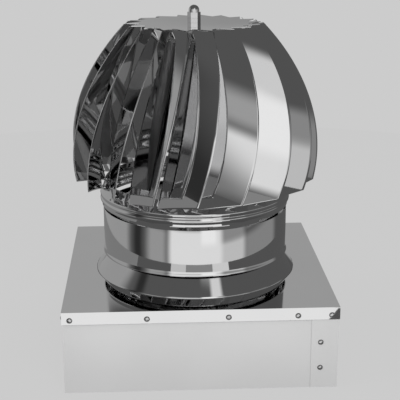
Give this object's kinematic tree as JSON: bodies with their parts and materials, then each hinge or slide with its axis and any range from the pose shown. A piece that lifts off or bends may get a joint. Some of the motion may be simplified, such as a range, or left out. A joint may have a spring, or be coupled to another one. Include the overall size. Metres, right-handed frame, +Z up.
{
  "type": "square chimney cowl",
  "caption": "Wind-driven chimney cowl: square overlapping base box, conical neck, fixed drum, and a free-spinning domed turbine of overlapping curved vanes.",
  "frame": {"origin": "bottom centre of the square base, on the plane of the skirt's lower edge", "axes": "+Z up along the turbine's spindle, -Y towards the front face that carries the lapped seam"},
  "size_m": [0.303, 0.303, 0.4022],
  "materials": {
    "mirror_sheet": "mirror-polished stainless steel",
    "satin_sheet": "satin stainless steel",
    "plain_steel": "plain stainless steel",
    "bright_hardware": "polished stainless steel"
  },
  "bodies": {
    "base": {"base_skirt": "satin_sheet", "base_lid": "mirror_sheet", "lid_rivets": "bright_hardware", "seam_rivets": "bright_hardware", "flue_neck": "mirror_sheet", "drum": "mirror_sheet", "drum_brackets": "plain_steel", "bracket_rivets": "plain_steel", "bridge_lower": "plain_steel", "bridge_upper": "plain_steel", "bridge_rivets": "plain_steel", "bearing_housing": "plain_steel", "housing_screws": "plain_steel", "housing_nuts": "plain_steel", "outer_race_low": "bright_hardware", "outer_race_high": "bright_hardware", "balls_low": "bright_hardware", "balls_high": "bright_hardware"},
    "turbine": {"inner_race_low": "bright_hardware", "inner_race_high": "bright_hardware", "spacer_sleeve": "plain_steel", "spindle": "plain_steel", "spindle_clip": "plain_steel", "crown_backing": "plain_steel", "crown_plate": "mirror_sheet", "lock_nut": "bright_hardware", "acorn_nut": "bright_hardware", "turbine_ring": "mirror_sheet", "vane_rivets": "bright_hardware", "vane_01": "mirror_sheet", "vane_02": "mirror_sheet", "vane_03": "mirror_sheet", "vane_04": "mirror_sheet", "vane_05": "mirror_sheet", "vane_06": "mirror_sheet", "vane_07": "mirror_sheet", "vane_08": "mirror_sheet", "vane_09": "mirror_sheet", "vane_10": "mirror_sheet", "vane_11": "mirror_sheet", "vane_12": "mirror_sheet", "vane_13": "mirror_sheet", "vane_14": "mirror_sheet", "vane_15": "mirror_sheet", "vane_16": "mirror_sheet", "vane_17": "mirror_sheet", "vane_18": "mirror_sheet"}
  },
  "joints": [
    {"name": "turbine_spin", "type": "hinge", "parent": "base", "child": "turbine", "pos_m": [0, 0, 0.1425], "axis": [0, 0, 1], "continuous": true}
  ]
}
